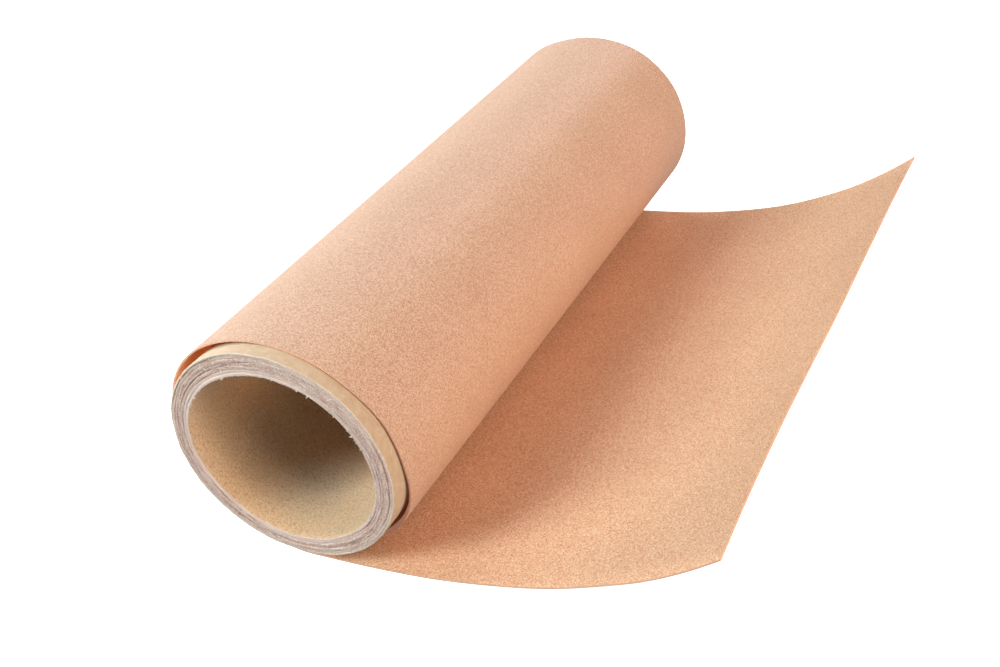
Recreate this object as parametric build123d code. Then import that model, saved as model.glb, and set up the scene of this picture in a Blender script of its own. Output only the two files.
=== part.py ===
from build123d import *
from math import cos, degrees, radians, sin
import os

# A roll of abrasive paper, loosely wound once round a spiral-wound board core, with a free tail
# that lies on the table and curls up. Millimetres. The origin is on the core's axis at mid-width
# of the sheet. +Y runs along the core, away from the end that stands out of the winding, +X runs
# from the core towards the tail, and +Z is up. Angles round the core start at +X, towards +Z.

# Core: paper plies glued one over the other
core_radius = 18.0
bore_radius = 15.0
core_length = 115.0
core_stands_out = 2.4
liner_thickness = 0.4
wrapper_thickness = 0.3
board_plies = 5

# Sheet: a paper backing with a coat of grit, which faces the core
sheet_width = 115.0
backing_thickness = 0.3
grit_thickness = 0.2
sheet_thickness = backing_thickness + grit_thickness
underside_z = -19.7

# Winding: (angle, gap between the core and the sheet's inner face), from the tucked-in end
# under the core, over the top, to the far side
winding_gaps = [
    (-118, 0.25),
    (-85, 0.22),
    (-52, 0.22),
    (-22, 0.50),
    (12, 0.55),
    (50, 0.30),
    (88, 0.25),
    (118, 0.62),
    (146, 1.10),
    (176, 1.10),
    (206, 1.00),
    (229, 1.36),
    (247, 1.58),
]
touch_x = -1.5

# Tail: strips that bend against each other, with a narrow gap at each bend
bend_gap = 0.3
lift_x = 10.0
flat_end_x = 15.9
strip_length = 16.7
strip_radii = {"near": 118.5, "middle": 68.3, "tip": 77.6}


def core_ply(inner_radius, outer_radius):
    """One ply of the core: a ring along Y."""
    ring = Plane.XZ * (Circle(outer_radius) - Circle(inner_radius))
    return Pos(0, -core_stands_out, 0) * extrude(ring, core_length / 2, both=True)


def core_plies():
    """Name and ring of each ply, from the bore outwards."""
    board = core_radius - bore_radius - liner_thickness - wrapper_thickness
    names = ["liner"] + [f"ply_{n + 1}" for n in range(board_plies)] + ["wrapper"]
    walls = [liner_thickness] + [board / board_plies] * board_plies + [wrapper_thickness]
    radius = bore_radius
    for name, wall in zip(names, walls):
        yield f"core_{name}", core_ply(radius, radius + wall)
        radius += wall


def across_the_width(outline):
    """The closed outline, drawn with X to the right and Z up, as a solid of the sheet's width."""
    return extrude(Plane.XZ * make_face(outline), sheet_width / 2, both=True)


def closed(first, second):
    """Two lines that run side by side, joined at their ends."""
    ends = [Line(first @ 0, second @ 0), Line(first @ 1, second @ 1)]
    return first.edges() + second.edges() + ends


def winding_line(depth):
    """The winding at one depth below its inner face, from the tucked-in end to the flat stretch."""
    points = []
    for angle, gap in winding_gaps:
        radius = core_radius + gap + depth
        points.append((radius * cos(radians(angle)), radius * sin(radians(angle))))
    level = underside_z + sheet_thickness - depth
    points.append((touch_x, level))
    start = radians(winding_gaps[0][0])
    ends = [(-sin(start), cos(start)), (1, 0)]
    turn = Spline(*points, tangents=ends, tangent_scalars=(1, 1))
    flat = Line((touch_x, level), (lift_x - bend_gap / 2, level))
    return Wire([turn, flat])


def winding_layer(top_depth, bottom_depth):
    return across_the_width(closed(winding_line(top_depth), winding_line(bottom_depth)))


def flat_line(depth):
    """The tail's flat strip at one depth below its upper face."""
    level = underside_z + sheet_thickness - depth
    return Line((lift_x + bend_gap / 2, level), (flat_end_x - bend_gap / 2, level))


def curled_line(depth, radius):
    """A curled strip at one depth, with its underside starting at the local origin along X."""
    half_gap = degrees(bend_gap / 2 / radius)
    sweep = degrees(strip_length / radius) - 2 * half_gap
    return CenterArc((0, radius), radius - sheet_thickness + depth, half_gap - 90, sweep)


def curled_layer(top_depth, bottom_depth, radius, start, heading):
    """One layer of a curled strip that starts at (x, z) and climbs at the heading."""
    lines = closed(curled_line(top_depth, radius), curled_line(bottom_depth, radius))
    place = Location((start[0], 0, start[1])) * Rotation(0, -heading, 0)
    return place * across_the_width(lines)


def sheet_layers(layer_name, top_depth, bottom_depth):
    """Name and solid of one layer of the whole sheet: the winding, then the tail's strips."""
    yield f"winding_{layer_name}", winding_layer(top_depth, bottom_depth)
    flat = closed(flat_line(top_depth), flat_line(bottom_depth))
    yield f"tail_flat_{layer_name}", across_the_width(flat)
    x, z, heading = flat_end_x, underside_z, 0.0
    for strip, radius in strip_radii.items():
        layer = curled_layer(top_depth, bottom_depth, radius, (x, z), heading)
        yield f"tail_{strip}_{layer_name}", layer
        end = heading + degrees(strip_length / radius)
        x += radius * (sin(radians(end)) - sin(radians(heading)))
        z += radius * (cos(radians(heading)) - cos(radians(end)))
        heading = end


os.makedirs("parts", exist_ok=True)
pieces = dict(core_plies())
pieces.update(sheet_layers("grit", 0, grit_thickness))
pieces.update(sheet_layers("backing", grit_thickness, sheet_thickness))
for name, piece in pieces.items():
    export_step(piece, f"parts/{name}.step")
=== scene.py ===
from math import cos, pi, radians, sin

import bpy
import numpy as np
from mathutils import Matrix, Vector


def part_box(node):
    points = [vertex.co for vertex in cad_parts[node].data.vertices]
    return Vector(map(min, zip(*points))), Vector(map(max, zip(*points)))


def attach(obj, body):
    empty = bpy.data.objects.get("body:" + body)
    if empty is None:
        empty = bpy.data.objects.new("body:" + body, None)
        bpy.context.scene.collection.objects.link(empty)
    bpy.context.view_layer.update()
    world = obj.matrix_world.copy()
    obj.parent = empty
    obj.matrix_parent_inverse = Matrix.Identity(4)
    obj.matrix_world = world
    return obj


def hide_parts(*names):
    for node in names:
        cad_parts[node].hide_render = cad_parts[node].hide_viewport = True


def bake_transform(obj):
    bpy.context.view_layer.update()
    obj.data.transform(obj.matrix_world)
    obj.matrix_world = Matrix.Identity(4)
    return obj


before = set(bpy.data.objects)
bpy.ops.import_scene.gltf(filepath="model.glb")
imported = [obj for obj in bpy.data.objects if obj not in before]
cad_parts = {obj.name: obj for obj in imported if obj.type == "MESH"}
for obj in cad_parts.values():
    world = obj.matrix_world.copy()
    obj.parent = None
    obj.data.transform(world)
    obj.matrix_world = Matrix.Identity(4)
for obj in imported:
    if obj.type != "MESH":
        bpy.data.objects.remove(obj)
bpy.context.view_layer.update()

# A roll of abrasive paper on a wound board core, with a free tail. Shapes are worked out in
# millimetres, in the CAD's frame, and go to Blender in metres. Y runs along the core, away from
# the end that stands out of the winding, X from the core towards the tail, Z up. Angles round the
# core are in degrees, from +X towards +Z.

MM = 0.001


def cad_span(node):
    """A CAD node's lowest and highest corners in millimetres."""
    low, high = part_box(node)
    return np.array(low) / MM, np.array(high) / MM


# ---------------------------------------------------------------- sizes of the core

core_low, core_high = cad_span("core_wrapper")
core_front, core_back = core_low[1], core_high[1]
core_length = core_back - core_front
core_radius = 18.0
bore_radius = 15.0
liner_wall = 0.4
wrapper_wall = 0.3
board_plies = 5
ply_gap = 0.005                  # keeps neighbouring plies' faces apart
front_tilt = (0.035, -0.036)     # the saw cut at the front leans: dy/dx and dy/dz
cut_reach = 5.0                  # how far back the lean and the ragged lip fade out
saw_waves = (0.05, 24)           # the cut wanders back and forth: by how much, in how many waves
saw_rags = (0.03, 160)           # the same, for each ply's own ragged lip
lip_rough = 0.012                # spread of the radius from point to point along the lip

# The saw left the wall uneven at the front: (angle, how far the bore's rim stands from its place)
rim_shift = [(-180, 0.38), (-150, 0.0), (-120, -0.04), (-90, -0.06), (-60, -0.14), (-40, 0.04),
             (-20, 0.16), (0, 0.06), (20, -0.12), (40, -0.22), (60, -0.40), (80, -0.64),
             (100, -0.74), (115, -0.66), (130, -0.44), (150, -0.02), (165, 0.22), (180, 0.38)]
rim_depth = 3.0                  # how far into the bore that fades out

# The board has come apart at one joint, along the stretch between two angles
split_ply = 3
split_start, split_end = 98, 150
split_width = 0.13

# ---------------------------------------------------------------- sizes of the sheet

sheet_low, sheet_high = cad_span("winding_backing")
sheet_width = sheet_high[1] - sheet_low[1]
underside = sheet_low[2]
sheet_thickness = 0.26
across_step = 1.6
along_step = 0.6

# The tucked-in end is folded back under itself at its front corner
lap_thickness = 0.78
lap_length = 30.0
lap_fade = 6.0
lap_share = 0.3                  # share of the sheet's width over which the fold tapers off

# Winding: (angle, how far the backing's face stands off the core) at the sheet's front edge and at
# its back edge. The sheet hugs the top of the core in front, and lifts off towards the back.
winding_front = [(-118, 0.62), (-85, 0.95), (-60, 1.24), (-40, 1.22), (-20, 0.76), (-5, 0.54),
                 (15, 0.46), (50, 0.40), (85, 0.37), (104, 0.72), (122, 1.18), (146, 1.60),
                 (176, 1.60), (206, 1.50), (229, 1.86), (247, 2.08)]
winding_back = [(-118, 0.62), (-85, 0.45), (-60, 0.40), (-40, 0.42), (-20, 0.50), (-5, 0.72),
                (15, 0.95), (50, 1.30), (85, 0.90), (104, 1.00), (122, 1.58), (146, 1.85),
                (176, 1.70), (206, 1.50), (229, 1.86), (247, 2.08)]

# Tail: it touches the table at touch_x, lies flat, and curls up in three arcs of equal length
touch_x = -1.5
flat_end_x = 15.9
strip_length = 16.7
strip_radii = [118.5, 68.3, 77.6]
winding_end_x = 2.0              # where the winding's piece ends and the tail's first one starts
end_piece_length = 10.5
tail_run = 75.0                  # the last part of the sheet, which holds the whole tail

# How far the sheet's edges run behind their place, because it was wound slightly askew:
# (angle round the core, shift), and for the tail (x, shift)
skew = [(-118, 3.3), (-85, 3.2), (-60, 3.0), (-40, 2.35), (-20, 1.9), (-4, 1.1), (8, 0.8),
        (22, 0.62), (40, 0.0), (60, -0.35), (90, -0.6), (110, -0.85), (150, -0.8),
        (225, -0.25), (247, 0.0)]
tail_skew = [(-9, 0.0), (-1.5, -0.35), (5, -0.58), (12, -0.64), (20, -0.45), (26, -0.2), (32, 0.0),
             (38, 0.12), (46, 0.2), (52, -0.15), (64, -0.35)]

# The tail's cut end isn't quite straight: (y, how far it reaches past its place)
end_bow = [(-57.5, -0.15), (-45, -0.72), (-30, -0.92), (-15, -0.64), (0, -0.2), (20, -0.06),
           (40, 0.2), (57.5, 0.65)]
end_bow_reach = 9.0


# ---------------------------------------------------------------- the sheet's path

def smooth(x, knots):
    """The value at x on a smooth curve through the knots, which are (place, value) pairs."""
    xs, ys = np.array(knots, float).T
    slopes = np.gradient(ys, xs)
    i = np.clip(np.searchsorted(xs, x) - 1, 0, len(xs) - 2)
    step = xs[i + 1] - xs[i]
    t = np.clip((x - xs[i]) / step, 0, 1)
    rise = ys[i + 1] - ys[i]
    bend = slopes[i] * step - rise, slopes[i + 1] * step - rise
    return ys[i] + rise * t + t * (1 - t) * (bend[0] * (1 - t) - bend[1] * t)


def hermite(start, start_way, end, end_way, count):
    """Points of a curve from start to end with those directions, without its first point."""
    start, end = np.array(start, float), np.array(end, float)
    size = np.linalg.norm(end - start)
    t = np.linspace(0, 1, count + 1)[1:, None]
    first, last = size * np.array(start_way), size * np.array(end_way)
    h = 2 * t**3 - 3 * t**2
    return (h + 1) * start + (t**3 - 2 * t**2 + t) * first - h * end + (t**3 - t**2) * last


def curled_line(steps):
    """(x, z) of the tail's underside along its three arcs, with that many steps in each."""
    curl, heading = [np.array([flat_end_x, underside])], 0.0
    for radius in strip_radii:
        turned = strip_length / radius / steps
        for _ in range(steps):
            middle = heading + turned / 2
            curl.append(curl[-1] + strip_length / steps * np.array([cos(middle), sin(middle)]))
            heading += turned
    return curl


def outer_line(back):
    """(x, z) of the backing's face from the tucked-in end to the tip, and the skew at each point.

    back is the place across the sheet, from 0 at the front edge to 1 at the back edge.
    """
    turn_step, flat_step = 1.0, 0.5
    turn = np.arange(winding_front[0][0], winding_front[-1][0] + turn_step / 2, turn_step)
    stand_off = (1 - back) * smooth(turn, winding_front) + back * smooth(turn, winding_back)
    radius = core_radius + stand_off
    wound = np.stack([radius * np.cos(np.radians(turn)), radius * np.sin(np.radians(turn))], 1)
    way = wound[-1] - wound[-2]
    reach = hermite(wound[-1], way / np.linalg.norm(way), (touch_x, underside), (1, 0), count=20)
    flat = [[x, underside] for x in np.arange(touch_x + flat_step, flat_end_x, flat_step)]
    path = np.concatenate([wound, reach, flat, curled_line(steps=30)])
    shift = np.concatenate([smooth(turn, skew), smooth(path[len(wound):, 0], tail_skew)])
    return path, shift


def even_line(step):
    """The sheet's path at even steps: points in front and at the back, skew, and length so far."""
    front, shift = outer_line(0.0)
    back, _ = outer_line(1.0)
    path = (front + back) / 2
    gone = np.concatenate([[0], np.cumsum(np.linalg.norm(np.diff(path, axis=0), axis=1))])
    along = np.linspace(0, gone[-1], int(gone[-1] / step) + 1)

    def at_even_steps(points):
        return np.stack([np.interp(along, gone, points[:, i]) for i in (0, 1)], 1)

    return at_even_steps(front), at_even_steps(back), np.interp(along, gone, shift), along


def directions(points, rounds=3):
    """The unit direction of a line at each of its points, smoothed a few times over."""
    ways = np.gradient(points, axis=0)
    for _ in range(rounds):
        ways[1:-1] = (ways[:-2] + 2 * ways[1:-1] + ways[2:]) / 4
    return ways / np.linalg.norm(ways, axis=1)[:, None]


line_front, line_back, line_skew, line_length = even_line(along_step)
line = (line_front + line_back) / 2
line_ways = directions(line)
sheet_length = line_length[-1]


# ---------------------------------------------------------------- helpers

def new_object(name, data):
    made = bpy.data.objects.new(name, data)
    bpy.context.scene.collection.objects.link(made)
    return made


def new_mesh(name, points, faces, slots, materials, uvs=None):
    """A smooth mesh object from points in millimetres. slots is each face's material."""
    mesh = bpy.data.meshes.new(name)
    mesh.from_pydata([tuple(p) for p in np.asarray(points) * MM], [], faces)
    for material in materials:
        mesh.materials.append(material)
    mesh.polygons.foreach_set("material_index", slots)
    mesh.polygons.foreach_set("use_smooth", [True] * len(faces))
    if uvs is not None:
        layer = mesh.uv_layers.new(name="sheet")
        corner = np.zeros(len(mesh.loops), int)
        mesh.loops.foreach_get("vertex_index", corner)
        layer.data.foreach_set("uv", np.asarray(uvs)[corner].ravel())
    mesh.update()
    return new_object(name, mesh)


def shader_node(tree, kind, values=None, **settings):
    """A shader node with settings, and its inputs set or linked by name or number."""
    made = tree.nodes.new(kind)
    for key, value in settings.items():
        setattr(made, key, value)
    for key, value in (values or {}).items():
        if isinstance(value, bpy.types.NodeSocket):
            tree.links.new(value, made.inputs[key])
        else:
            made.inputs[key].default_value = value
    return made


def new_material(name, roughness, specular, sheen=0.0):
    """A material, its node tree and its shader."""
    made = bpy.data.materials.new(name)
    made.use_nodes = True
    shader = made.node_tree.nodes["Principled BSDF"]
    shader.inputs["Roughness"].default_value = roughness
    shader.inputs["Specular IOR Level"].default_value = specular
    shader.inputs["Sheen Weight"].default_value = sheen
    shader.inputs["Sheen Roughness"].default_value = 0.5
    return made, made.node_tree, shader


def arithmetic(tree, operation, first, second):
    values = {0: first, 1: second}
    return shader_node(tree, "ShaderNodeMath", values, operation=operation).outputs[0]


def average(tree, first, second):
    return arithmetic(tree, "MULTIPLY", arithmetic(tree, "ADD", first, second), 0.5)


def vector_maths(tree, operation, values, output="Vector"):
    return shader_node(tree, "ShaderNodeVectorMath", values, operation=operation).outputs[output]


def axis_of(tree, vector, axis):
    return shader_node(tree, "ShaderNodeSeparateXYZ", {0: vector}).outputs[axis]


def span(tree, value, start, end, low=0.0, high=1.0):
    """A number that goes from low to high as the value goes from start to end."""
    values = {"Value": value, "From Min": start, "From Max": end, "To Min": low, "To Max": high}
    return shader_node(tree, "ShaderNodeMapRange", values).outputs[0]


def ramp(tree, factor, stops):
    """A colour looked up in stops, which are (place, colour) pairs."""
    made = shader_node(tree, "ShaderNodeValToRGB", {"Fac": factor})
    points = made.color_ramp.elements
    while len(points) < len(stops):
        points.new(0.5)
    for point, (place, colour) in zip(points, stops):
        point.position = place
        point.color = (*colour, 1)
    return made.outputs["Color"]


def share_ramp(tree, factor, stops):
    """A grey looked up in stops, which are (place, share) pairs."""
    return ramp(tree, factor, [(place, (share,) * 3) for place, share in stops])


def mix(tree, factor, first, second, how="MIX"):
    """Two colours mixed. The factor and the colours are values or sockets."""
    made = shader_node(tree, "ShaderNodeMix", data_type="RGBA", blend_type=how)
    factor_input, first_input, second_input = 0, 6, 7
    for key, value in ((factor_input, factor), (first_input, first), (second_input, second)):
        if isinstance(value, bpy.types.NodeSocket):
            tree.links.new(value, made.inputs[key])
        else:
            made.inputs[key].default_value = value if key == factor_input else (*value, 1)
    return made.outputs[2]


def grey(tree, colour):
    return shader_node(tree, "ShaderNodeRGBToBW", {"Color": colour}).outputs[0]


def noise(tree, place, per_mm, detail=2.0, rough=0.5):
    values = {"Vector": place, "Scale": per_mm, "Detail": detail, "Roughness": rough}
    return shader_node(tree, "ShaderNodeTexNoise", values).outputs["Fac"]


def grains(tree, place, per_mm):
    """Cells with a random colour each."""
    return shader_node(tree, "ShaderNodeTexVoronoi", {"Vector": place, "Scale": per_mm}).outputs["Color"]


def finish_surface(tree, shader, colour, height, depth):
    """Gives the shader its colour, and bumps from a height that is depth millimetres at most."""
    tree.links.new(colour, shader.inputs["Base Color"])
    values = {"Height": height, "Distance": depth * MM, "Strength": 1.0}
    tree.links.new(shader_node(tree, "ShaderNodeBump", values).outputs[0], shader.inputs["Normal"])


# ---------------------------------------------------------------- places on the object

def on_sheet(tree):
    """Millimetres along and across the sheet."""
    uv = shader_node(tree, "ShaderNodeUVMap", uv_map="sheet").outputs["UV"]
    size = (sheet_length, sheet_width, 1)
    return shader_node(tree, "ShaderNodeMapping", {"Vector": uv, "Scale": size}).outputs[0]


def on_object(tree):
    return shader_node(tree, "ShaderNodeTexCoord").outputs["Object"]


def in_millimetres(tree):
    """The object's own coordinates in millimetres."""
    values = {"Vector": on_object(tree), "Scale": (1 / MM,) * 3}
    return shader_node(tree, "ShaderNodeMapping", values).outputs[0]


def round_core(tree, along_turn, along_radius, along_length):
    """A place for noise that closes on itself round the core, with its cycles per mm each way."""
    parts = shader_node(tree, "ShaderNodeSeparateXYZ", {0: on_object(tree)}).outputs
    flat = shader_node(tree, "ShaderNodeCombineXYZ", {"X": parts["X"], "Z": parts["Z"]}).outputs[0]
    radius = vector_maths(tree, "LENGTH", {0: flat}, "Value")
    unit = vector_maths(tree, "NORMALIZE", {0: flat})
    around = vector_maths(tree, "SCALE", {0: unit, "Scale": core_radius * along_turn})
    out = arithmetic(tree, "MULTIPLY", radius, along_radius / MM)
    deep = arithmetic(tree, "MULTIPLY", parts["Y"], along_length / MM)
    total = arithmetic(tree, "ADD", out, deep)
    lift = shader_node(tree, "ShaderNodeCombineXYZ", {"Y": total}).outputs[0]
    return vector_maths(tree, "ADD", {0: around, 1: lift})


# ---------------------------------------------------------------- materials of the sheet

grain_per_mm = 7.5


def abrasive(name, dark, middle, light, spread, roughness, specular, depth):
    """Paper with a coat of grains. Each has its own shade, and the spread sets their contrast."""
    made, tree, shader = new_material(name, roughness, specular, sheen=0.1)
    place = on_sheet(tree)
    cells = grey(tree, grains(tree, place, grain_per_mm))
    cloud = noise(tree, place, grain_per_mm * 0.62, detail=3.0, rough=0.7)
    shade = average(tree, cells, cloud)
    colour = ramp(tree, shade, [(0.5 - spread, dark), (0.5, middle), (0.5 + spread, light)])
    patches = noise(tree, place, per_mm=0.08)
    tint = ramp(tree, patches, [(0.3, (0.95, 0.94, 0.93)), (0.7, (1.0, 1.0, 1.0))])
    finish_surface(tree, shader, mix(tree, 1.0, colour, tint, "MULTIPLY"), shade, depth)
    return made


def cut_paper():
    """The sheet's cut edge: pinkish brown, uneven."""
    made, tree, shader = new_material("sheet_edge", roughness=0.9, specular=0.2)
    spots = noise(tree, on_sheet(tree), per_mm=3.0, detail=3.0, rough=0.7)
    colour = ramp(tree, spots, [(0.35, (0.84, 0.38, 0.23)), (0.65, (1.0, 0.64, 0.46))])
    finish_surface(tree, shader, colour, spots, depth=0.05)
    return made


# Painted glow: how strongly the grit inside the winding shines by itself, standing in for the light that
# comes through the thin paper: (share of the sheet's length, strength)
painted_glow_stops = [(0.20, 0.04), (0.36, 0.04), (0.41, 0.11), (0.455, 0.24), (0.52, 0.24), (0.60, 0.1)]


def inside_of_winding_painted_glow():
    """The grit coat inside the winding, with a painted glow: a warm emission that stands in for the light
    the thin paper lets through.
    """
    made = grit.copy()
    made.name = "grit_coat_inside_painted_glow"
    tree = made.node_tree
    shader = tree.nodes["Principled BSDF"]
    share = span(tree, axis_of(tree, on_sheet(tree), "X"), 0.0, float(sheet_length))
    strength = share_ramp(tree, share, painted_glow_stops)
    # painted glow: the grit shines warm by itself along the winding
    shader.inputs["Emission Color"].default_value = (1.0, 0.24, 0.05, 1)
    tree.links.new(grey(tree, strength), shader.inputs["Emission Strength"])
    return made


grit = abrasive("grit_coat", dark=(0.56, 0.21, 0.10), middle=(0.80, 0.44, 0.25),
                light=(0.95, 0.70, 0.49), spread=0.225, roughness=0.75, specular=0.25, depth=0.01)
backing = abrasive("backing_paper", dark=(0.53, 0.28, 0.17), middle=(0.66, 0.40, 0.265),
                   light=(0.77, 0.54, 0.41), spread=0.14, roughness=0.5, specular=0.5, depth=0.03)
edge = cut_paper()
grit_inside_painted_glow = inside_of_winding_painted_glow()


# ---------------------------------------------------------------- materials of the core

def board():
    """Cut recycled board: mauve-grey fibres in streaks round the ring, paler at both rims."""
    made, tree, shader = new_material("core_board", roughness=0.95, specular=0.15, sheen=0.3)
    place = in_millimetres(tree)
    streak_place = round_core(tree, along_turn=0.5, along_radius=5.0, along_length=0.8)
    streaks = noise(tree, streak_place, per_mm=1.0, detail=4.0, rough=0.7)
    fuzz = noise(tree, place, per_mm=4.5, detail=3.0, rough=0.75)
    grain = average(tree, streaks, fuzz)
    colour = ramp(tree, grain, [(0.37, (0.40, 0.21, 0.16)), (0.5, (0.81, 0.50, 0.395)),
                                (0.63, (1.0, 0.80, 0.70))])
    # how far through the wall, from 0 at the bore, with a ragged boundary to the paler rims
    uv = shader_node(tree, "ShaderNodeUVMap", uv_map="sheet").outputs["UV"]
    ragged = span(tree, fuzz, 0.0, 1.0, low=-0.16, high=0.16)
    through = arithmetic(tree, "ADD", axis_of(tree, uv, "X"), ragged)
    inner_rim = grey(tree, share_ramp(tree, through, [(0.12, 0.9), (0.34, 0.0)]))
    outer_rim = share_ramp(tree, through, [(0.66, 0.0), (0.94, 0.55)])
    # the bore's rim is palest on the left, where the saw came out
    paleness = span(tree, axis_of(tree, place, "X"), -6.0, 14.0, low=1.0, high=0.3)
    inner_rim = arithmetic(tree, "MULTIPLY", inner_rim, paleness)
    colour = mix(tree, inner_rim, colour, (1.0, 0.75, 0.64))
    colour = mix(tree, outer_rim, colour, (0.93, 0.74, 0.57))
    tufts = noise(tree, place, per_mm=3.2, detail=3.0, rough=0.75)
    spots = share_ramp(tree, tufts, [(0.60, 0.0), (0.70, 0.8)])
    colour = mix(tree, spots, colour, (1.0, 0.86, 0.78))
    finish_surface(tree, shader, colour, grain, depth=0.16)
    return made


# Painted shade inside the bore, on the liner's lower left: which way that is, the colour it is
# multiplied by, and how far along that way and in from the cut the painted shade starts and is full
painted_shade_way = (-0.71, 0.0, -0.70)
painted_shade_tint = (0.56, 0.65, 0.80)
painted_shade_side = (9.5, 14.5)
painted_shade_depth = (3.0, 12.0)


def painted_bore_shade(tree, place, colour):
    """The colour darkened by the painted shade deep in the bore."""
    along = span(tree, axis_of(tree, place, "Y"), *[float(core_front + d) for d in painted_shade_depth])
    side = span(tree, vector_maths(tree, "DOT_PRODUCT", {0: place, 1: painted_shade_way}, "Value"), *painted_shade_side)
    share = arithmetic(tree, "MULTIPLY", along, side)
    return mix(tree, share, colour, mix(tree, 1.0, colour, painted_shade_tint, "MULTIPLY"))


def kraft(name, dark, middle, light, speck, speck_share, cloud_per_mm, has_painted_shade):
    """Brown kraft paper with cloudy fibres and small dark specks, and, if asked, painted shade deep in
    the bore.
    """
    made, tree, shader = new_material(name, roughness=0.7, specular=0.3, sheen=0.1)
    place = in_millimetres(tree)
    cloud = noise(tree, place, cloud_per_mm, detail=5.0, rough=0.7)
    colour = ramp(tree, cloud, [(0.34, dark), (0.5, middle), (0.66, light)])
    dots = noise(tree, place, per_mm=2.8, rough=0.6)
    colour = mix(tree, share_ramp(tree, dots, [(0.31, speck_share), (0.40, 0.0)]), colour, speck)
    # painted shade: the liner darkened deep in the bore on its lower left, where light hardly reaches
    if has_painted_shade:
        colour = painted_bore_shade(tree, place, colour)
    finish_surface(tree, shader, colour, cloud, depth=0.03)
    return made


def fluff():
    """Pale loose board fibre."""
    made, tree, shader = new_material("board_fluff", roughness=0.95, specular=0.1, sheen=0.4)
    shade = noise(tree, in_millimetres(tree), per_mm=3.0)
    colour = ramp(tree, shade, [(0.35, (0.80, 0.62, 0.52)), (0.65, (1.0, 0.86, 0.77))])
    finish_surface(tree, shader, colour, shade, depth=0.05)
    return made


board_cut = board()
liner = kraft("kraft_liner", dark=(0.68, 0.43, 0.24), middle=(0.91, 0.60, 0.37),
              light=(1.0, 0.76, 0.51), speck=(0.42, 0.26, 0.15), speck_share=0.6,
              cloud_per_mm=3.2, has_painted_shade=True)
wrapper = kraft("kraft_wrapper", dark=(0.54, 0.385, 0.245), middle=(0.585, 0.425, 0.28),
                light=(0.645, 0.485, 0.34), speck=(0.5, 0.35, 0.21), speck_share=0.15,
                cloud_per_mm=0.9, has_painted_shade=False)
loose_fibre = fluff()


# ---------------------------------------------------------------- the sheet

across = np.linspace(-sheet_width / 2, sheet_width / 2, int(sheet_width / across_step) + 1)


def sheet_face(first, last, side):
    """Points and UVs of one face of the sheet: side 0 is the backing's face, 1 the grit's."""
    rows = np.arange(first, last + 1)
    gone = line_length[rows][:, None]
    back = across / sheet_width + 0.5
    fold = np.clip((lap_length - gone) / lap_fade, 0, 1) * np.clip(1 - back / lap_share, 0, 1)
    depth = side * (sheet_thickness + fold * (lap_thickness - sheet_thickness))
    near_end = np.clip(1 - (sheet_length - gone) / end_bow_reach, 0, 1)
    stretch = near_end**2 * smooth(across, end_bow)
    points = np.zeros((len(rows), len(across), 3))
    for axis, toward_grit in ((0, -line_ways[rows, 1]), (1, line_ways[rows, 0])):
        front, rear = line_front[rows, axis][:, None], line_back[rows, axis][:, None]
        points[:, :, 2 * axis] = ((1 - back) * front + back * rear + depth * toward_grit[:, None]
                                  + stretch * line_ways[rows, axis][:, None])
    points[:, :, 1] = across + line_skew[rows][:, None]
    uvs = np.stack(np.broadcast_arrays(gone / sheet_length, back), 2)
    return points.reshape(-1, 3), uvs.reshape(-1, 2)


def sheet_piece(name, first, last, nodes):
    """The sheet between two stations of its path, as a closed thin solid."""
    count, wide = last - first + 1, len(across)
    points, uvs = [], []
    for side in (0, 1):
        face_points, face_uvs = sheet_face(first, last, side)
        points += list(face_points)
        uvs += list(face_uvs)
    faces, slots = [], []
    backing_slot, grit_slot, edge_slot = 0, 1, 2

    def at(side, row, column):
        return (side * count + row) * wide + column

    for row in range(count - 1):
        for column in range(wide - 1):
            quad = [(row, column), (row, column + 1), (row + 1, column + 1), (row + 1, column)]
            faces.append([at(0, *q) for q in quad])
            faces.append([at(1, *q) for q in reversed(quad)])
            slots += [backing_slot, grit_slot]
    # cut edges have points of their own, so that they shade as a crisp corner
    cut_edges = [([(r, 0) for r in range(count)], True), ([(r, wide - 1) for r in range(count)], False)]
    if first == 0:
        cut_edges.append(([(0, c) for c in range(wide)], False))
    if last == len(line) - 1:
        cut_edges.append(([(count - 1, c) for c in range(wide)], True))
    for run, turned in cut_edges:
        base, n = len(points), len(run)
        for side in (0, 1):
            points += [points[at(side, *q)] for q in run]
            uvs += [uvs[at(side, *q)] for q in run]
        for k in range(n - 1):
            quad = [base + k, base + k + 1, base + n + k + 1, base + n + k]
            faces.append(quad if turned else quad[::-1])
            slots.append(edge_slot)
    # the winding's piece gets the grit with the painted glow
    upper = grit_inside_painted_glow if first == 0 else grit
    made = new_mesh(name, points, faces, slots, [backing, upper, edge], uvs)
    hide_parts(*nodes)
    return made


def station(x):
    """The station of the tail that is nearest to that x."""
    start = int(np.argmax(line_length > sheet_length - tail_run))
    return start + int(np.argmin(abs(line[start:, 0] - x)))


def middle_of(strip):
    low, high = cad_span(f"tail_{strip}_backing")
    return (low[0] + high[0]) / 2


strips = ["flat", "near", "middle", "tip"]
cuts = [0, station(winding_end_x)] + [station(middle_of(strip)) for strip in strips[:-1]]
cuts += [int(np.argmax(line_length > sheet_length - end_piece_length)), len(line) - 1]

winding = sheet_piece("winding_sheet", cuts[0], cuts[1], ["winding_backing", "winding_grit"])
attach(winding, "winding")
# each tail piece spans from one body of the CAD to the next
for k, strip in enumerate(strips):
    first, last = cuts[k + 1], cuts[k + 2]
    nodes = [f"tail_{strip}_backing", f"tail_{strip}_grit"]
    piece = sheet_piece(f"tail_{strip}_sheet", first, last, nodes)
    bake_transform(piece)
end_piece = sheet_piece("tail_end_sheet", cuts[-2], cuts[-1], [])
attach(end_piece, "tail_tip")


# ---------------------------------------------------------------- the core

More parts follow.
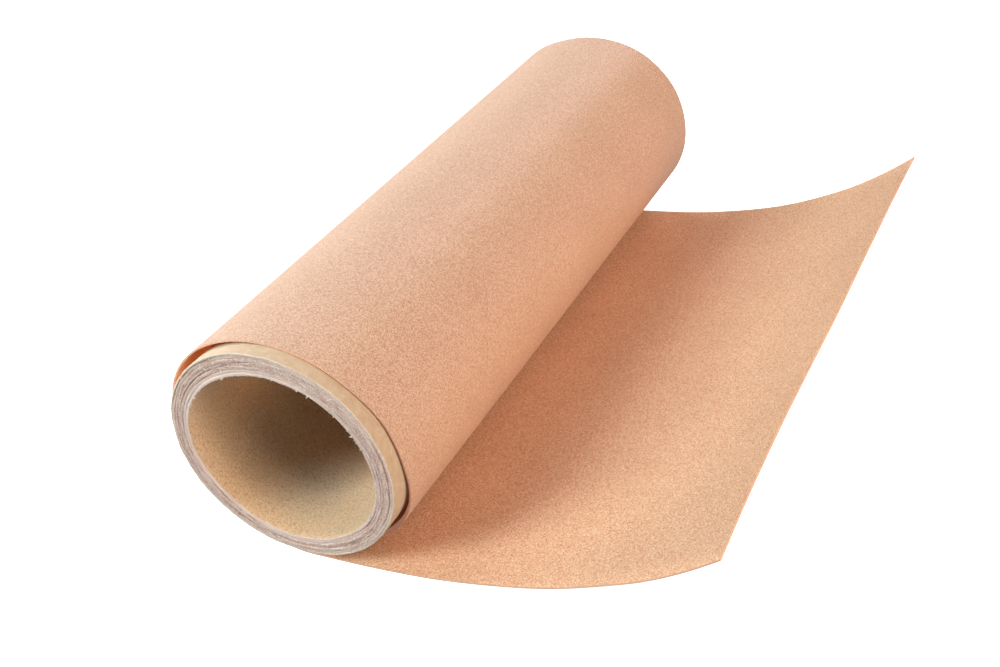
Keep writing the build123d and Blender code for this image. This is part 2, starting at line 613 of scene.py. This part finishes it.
turn_steps = 720
turn_angles = np.linspace(0, 2 * pi, turn_steps, endpoint=False)
long_steps = 12                  # sections along the straight part of a ply's wall
ring_seed, rag_seed, fibre_seed = 11, 50, 31


def wavy(amount, waves, seed):
    """A closed uneven line round the core, one value for each angle."""
    draw = np.random.default_rng(seed)
    total = np.zeros(turn_steps)
    for n in range(1, waves + 1):
        total += draw.normal() / n**0.7 * np.cos(n * turn_angles + draw.uniform(0, 2 * pi))
    return amount * total / total.std()


def ply_section(inner, outer):
    """A ply's outline as (radius, y, whether it is near the front), starting with its lip.

    It comes with the number of points on the lip, and the sides that show cut board.
    """
    soft = min(0.07, (outer - inner) / 4)
    corner = soft * 0.3
    crown = -0.01
    lip = [(inner, soft), (inner + corner, corner), (inner + soft, 0.0),
           ((inner + outer) / 2, crown), (outer - soft, 0.0), (outer - corner, corner), (outer, soft)]
    steps_back = (1.0, 2.5, 5.0)
    along = np.linspace(2 * cut_reach, core_length - 1, long_steps)
    far_end = [(outer, core_length - soft), (outer - soft, core_length),
               (inner + soft, core_length), (inner, core_length - soft)]
    section = [(radius, y, True) for radius, y in lip + [(outer, y) for y in steps_back]]
    section += [(outer, y, False) for y in along]
    far_first = len(section) - 1
    section += [(radius, y, False) for radius, y in far_end]
    section += [(inner, y, False) for y in along[::-1]]
    section += [(inner, y, True) for y in steps_back[::-1]]
    cut_sides = [*range(len(lip) - 1), *range(far_first, far_first + len(far_end))]
    return section, len(lip), cut_sides


def split_opening(degrees_round):
    """How far the board has come apart at each angle."""
    share = (degrees_round - split_start) / (split_end - split_start)
    opening = split_width * np.clip(np.sin(pi * share), 0, 1)
    opening[(share < 0) | (share > 1)] = 0
    return opening


def ply_ring(name, inner, outer, lift, skin, seed, nodes, is_split):
    """One ply: a ring whose front end follows the leaning cut, with a soft, ragged lip."""
    degrees_round = (np.degrees(turn_angles) + 180) % 360 - 180
    squeeze = smooth(degrees_round, rim_shift)
    split = split_opening(degrees_round) if is_split else 0.0
    draw = np.random.default_rng(seed)
    wave = wavy(*saw_waves, seed) + wavy(*saw_rags, seed + rag_seed)
    section, lip_count, cut_sides = ply_section(inner, outer)
    n = len(section)
    grid = np.zeros((turn_steps, n, 3))
    wall_places = np.zeros((turn_steps, n))
    for j, (radius, y, near_front) in enumerate(section):
        wall_place = (radius - bore_radius) / (core_radius - bore_radius)
        near_rim = np.clip(1 - y / rim_depth, 0, 1)**2 if near_front else 0.0
        rough = draw.normal(0, lip_rough, turn_steps) if j < lip_count else 0
        r = radius + rough + near_rim * (1 - wall_place) * squeeze
        if radius - inner < (outer - inner) / 2:
            r = r + near_rim * split
        x, z = r * np.cos(turn_angles), r * np.sin(turn_angles)
        fade = np.clip(1 - y / cut_reach, 0, 1)
        lean = front_tilt[0] * x + front_tilt[1] * z
        grid[:, j] = np.stack([x, core_front + y + fade * (lean + lift + wave), z], 1)
        wall_places[:, j] = wall_place
    faces, slots = [], []
    for i in range(turn_steps):
        k = (i + 1) % turn_steps
        for j in range(n):
            m = (j + 1) % n
            faces.append([i * n + j, i * n + m, k * n + m, k * n + j])
            slots.append(0 if j in cut_sides else 1)
    uvs = np.stack([wall_places.ravel(), np.repeat(turn_angles / (2 * pi), n)], 1)
    made = new_mesh(name, grid.reshape(-1, 3), faces, slots, [board_cut, skin], uvs)
    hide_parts(*nodes)
    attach(made, "core")
    return made


def cut_point(angle, radius):
    """A point on the core's leaning front face."""
    x, z = radius * cos(radians(angle)), radius * sin(radians(angle))
    return np.array([x, core_front + front_tilt[0] * x + front_tilt[1] * z, z])


def burrs(draw):
    """Each fibre on the cut face: its angle, radius, length, width, and how far it leans inwards."""
    listed = [(53.7, 14.75, 0.42, 0.34, 1.0), (22.6, 14.95, 0.4, 0.32, 1.0),
              (147.8, 15.0, 0.4, 0.3, 1.0), (-149.7, 15.1, 0.4, 0.3, 1.0),
              (109.8, 16.75, 0.6, 0.3, 0.0), (-46.8, 16.1, 0.7, 0.3, 0.0)]
    on_rim, on_face = 170, 150       # small fibres besides the listed burrs
    for _ in range(on_rim):
        angle = draw.uniform(-180, 180)
        rim = bore_radius + float(smooth(np.array([angle]), rim_shift)[0])
        radius = rim + draw.uniform(0, 0.15)
        length = draw.gamma(shape=2.0, scale=0.06)
        listed.append((angle, radius, length, draw.uniform(0.12, 0.3), 0.8))
    for _ in range(on_face):
        angle = draw.uniform(-180, 180)
        radius = draw.uniform(bore_radius + 0.4, core_radius - 0.2)
        length = draw.gamma(shape=2.0, scale=0.1)
        listed.append((angle, radius, length, draw.uniform(0.07, 0.2), 0.0))
    return listed


def spike(base, way, lean, out, length, width, first):
    """Points and faces of one bent fibre with a square section, numbered from first."""
    aslant = np.array([0, 0.3, 0.1])   # keeps the cross product away from zero
    side = np.cross(way, out + aslant)
    side /= np.linalg.norm(side)
    flat = np.cross(way, side)
    bend = 0.15 * length * lean
    levels = [(-0.3, 1.0), (0.45, 0.8), (0.85, 0.5)]   # (share of the length, share of the width)
    points, faces = [], []
    for t, size in levels:
        for a in range(4):
            corner = cos(a * pi / 2) * side + 0.6 * sin(a * pi / 2) * flat
            points.append(base + way * length * t + bend * t * t + corner * width / 2 * size)
    points.append(base + way * length + bend)
    for low in range(first, first + 8, 4):
        for a in range(4):
            b = (a + 1) % 4
            faces.append([low + a, low + b, low + 4 + b, low + 4 + a])
    top, tip = first + 8, first + 12
    faces += [[top + a, top + (a + 1) % 4, tip] for a in range(4)]
    faces.append([first + 3, first + 2, first + 1, first])
    return points, faces


def fibres():
    """Tufts and burrs of board fibre that the saw left on the cut face."""
    draw = np.random.default_rng(fibre_seed)
    forward = np.array([0, -1, 0])
    points, faces = [], []
    for angle, radius, length, width, inward in burrs(draw):
        out = np.array([cos(radians(angle)), 0, sin(radians(angle))])
        lean = draw.normal(0, 0.5) * np.array([-out[2], 0, out[0]])
        if inward:
            way = -out * inward + 0.35 * forward + lean
        else:
            way = 0.7 * forward + draw.normal(0, 0.6) * out + lean
        way /= np.linalg.norm(way)
        base = cut_point(angle, radius)
        more_points, more_faces = spike(base, way, lean, out, length, width, len(points))
        points += more_points
        faces += more_faces
    made = new_mesh("core_fibres", points, faces, [0] * len(faces), [loose_fibre])
    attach(made, "core")


def core():
    """The plies from the bore outwards, each a little proud of or behind its neighbours."""
    board_wall = (core_radius - bore_radius - liner_wall - wrapper_wall) / board_plies
    plies = [("core_liner", liner_wall, 0.0, liner, "kraft_liner")]
    for k, lift in enumerate((0.03, -0.03, 0.05, -0.02, 0.03)):
        plies.append((f"core_ply_{k + 1}", board_wall, lift, board_cut, "core_board"))
    plies.append(("core_wrapper", wrapper_wall, 0.0, wrapper, "kraft_wrapper"))
    radius = bore_radius
    for k, (node, wall, lift, skin, slot) in enumerate(plies):
        ring = ply_ring(f"{node}_ring", radius, radius + wall - ply_gap, lift, skin, ring_seed + k,
                        [node], is_split=k == split_ply)
        radius += wall


core()
fibres()


# ---------------------------------------------------------------- stage, light and camera

def stage_white():
    """Plain white that is bright by itself, so that no shadow shows on it."""
    made, _, shader = new_material("floor_white", roughness=0.9, specular=0.1)
    shader.inputs["Base Color"].default_value = (0.9, 0.9, 0.9, 1)
    shader.inputs["Emission Color"].default_value = (1, 1, 1, 1)
    shader.inputs["Emission Strength"].default_value = 1.0
    return made


def stage_piece(name, points, faces, material):
    """Part of the stage, in metres. Only the camera sees it: the light from below is the world's."""
    mesh = bpy.data.meshes.new(name)
    mesh.from_pydata(points, [], faces)
    mesh.materials.append(material)
    made = new_object(name, mesh)
    made.visible_diffuse = made.visible_glossy = made.visible_shadow = False


def floor(material, size=4.0):
    level = underside * MM - 0.0001
    corners = [(-size, -size, level), (size, -size, level), (size, size, level), (-size, size, level)]
    stage_piece("floor", corners, [(0, 1, 2, 3)], material)


def backdrop(material, reach=5.0, rings=12, spokes=32):
    """A sphere far off, all round the object."""
    points = [(0, 0, reach)]
    for k in range(1, rings):
        drop = pi * k / rings
        for j in range(spokes):
            turn = 2 * pi * j / spokes
            way = (sin(drop) * cos(turn), sin(drop) * sin(turn), cos(drop))
            points.append([reach * part for part in way])
    points.append((0, 0, -reach))
    bottom = len(points) - 1
    last_ring = bottom - spokes
    faces = []
    for j in range(spokes):
        k = (j + 1) % spokes
        faces.append((0, 1 + j, 1 + k))
        for low in range(1, last_ring, spokes):
            faces.append((low + j, low + spokes + j, low + spokes + k, low + k))
        faces.append((bottom, last_ring + k, last_ring + j))
    stage_piece("backdrop", points, faces, material)


light_size = 0.5
light_distance = 1.1
light_aim = Vector((0.02, 0, 0))

# (name, azimuth, elevation, watts, colour), in degrees: azimuth 0 is in front and 90 to the right
lights = [
    ("key", 324, 35, 11.1, (0.79, 0.97, 1.0)),
    ("left", 270, 12, 14.6, (1.0, 1.0, 1.0)),
    ("right", 90, 12, 6.8, (1.0, 0.83, 0.68)),
    ("right_fill", 72, 35, 4.3, (1.0, 0.97, 0.86)),
    ("back", 180, 35, 2.2, (1.0, 0.94, 0.95)),
    ("back_left", 225, 60, 3.5, (0.85, 0.94, 1.0)),
    ("top_right", 90, 60, 1.4, (1.0, 0.5, 0.5)),
]


def area_light(name, azimuth, elevation, watts, colour):
    """A soft round light that faces the object."""
    data = bpy.data.lights.new(name, "AREA")
    data.shape = "DISK"
    data.size = light_size
    data.energy = watts
    data.color = colour
    made = new_object(name, data)
    a, e = radians(azimuth), radians(elevation)
    way = Vector((sin(a) * cos(e), -cos(a) * cos(e), sin(e)))
    made.location = way * light_distance + light_aim
    made.rotation_euler = way.to_track_quat("Z", "Y").to_euler()


def studio_world(above, below, colour):
    """A plain surrounding, with one strength above the horizon and one below it."""
    world = bpy.data.worlds.new("studio")
    world.use_nodes = True
    tree = world.node_tree
    way = shader_node(tree, "ShaderNodeTexCoord").outputs["Generated"]
    strength = span(tree, axis_of(tree, way, "Z"), -0.05, 0.05, low=below, high=above)
    background = tree.nodes["Background"]
    tree.links.new(strength, background.inputs["Strength"])
    background.inputs["Color"].default_value = (*colour, 1)
    bpy.context.scene.world = world


def add_camera(place, heading, down, roll, lens):
    """The camera, with its place in metres, its angles in degrees and its lens in millimetres."""
    data = bpy.data.cameras.new("camera")
    data.sensor_width = 36.0
    data.lens = lens
    made = new_object("camera", data)
    turn = (Matrix.Rotation(radians(heading), 4, "Z") @ Matrix.Rotation(radians(90 - down), 4, "X")
            @ Matrix.Rotation(radians(roll), 4, "Z"))
    made.matrix_world = Matrix.Translation(place) @ turn
    bpy.context.scene.camera = made


white = stage_white()
floor(white)
backdrop(white)
studio_world(above=0.0, below=0.39, colour=(0.78, 0.87, 1.0))
for light in lights:
    area_light(*light)
add_camera(place=(0.10824, -0.16668, 0.09772), heading=32.49, down=29.904, roll=-11.94, lens=45.42)
bpy.context.scene.view_settings.view_transform = "Standard"
